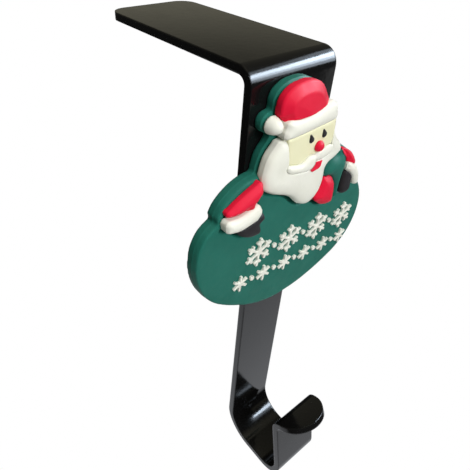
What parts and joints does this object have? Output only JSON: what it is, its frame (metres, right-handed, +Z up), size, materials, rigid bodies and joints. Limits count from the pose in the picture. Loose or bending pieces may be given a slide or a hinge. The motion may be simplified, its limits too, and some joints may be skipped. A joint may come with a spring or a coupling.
{
  "type": "mantel stocking holder",
  "caption": "Flat steel strip folded into a plate that sits on a mantel, an upright and a forward hook for a stocking's loop, with a soft moulded winter plaque on the front.",
  "frame": {"origin": "middle of the flat underside of the top plate, where it lies on the mantel", "axes": "+Z up, +Y from the hook towards the wall, +X to the right of someone who faces the mantel"},
  "size_m": [0.0898, 0.1263, 0.1995],
  "materials": {
    "black_paint": "gloss",
    "green_vinyl": "matte",
    "red_vinyl": "matte",
    "cream_vinyl": "matte",
    "pale_yellow_vinyl": "matte",
    "black_vinyl": "matte"
  },
  "bodies": {
    "root": {"hook_strip": "black_paint", "plaque_base": "green_vinyl", "cap": "red_vinyl", "cap_trim": "cream_vinyl", "cap_bobble": "cream_vinyl", "beard": "cream_vinyl", "face": "pale_yellow_vinyl", "moustache": "cream_vinyl", "nose": "red_vinyl", "mouth": "red_vinyl", "eyes": "black_vinyl", "left_sleeve": "red_vinyl", "left_cuff": "cream_vinyl", "left_mitten": "black_vinyl", "right_sleeve": "red_vinyl", "right_cuff": "cream_vinyl", "right_mitten": "black_vinyl", "coat_front": "red_vinyl", "snow_motifs": "cream_vinyl"}
  },
  "joints": []
}
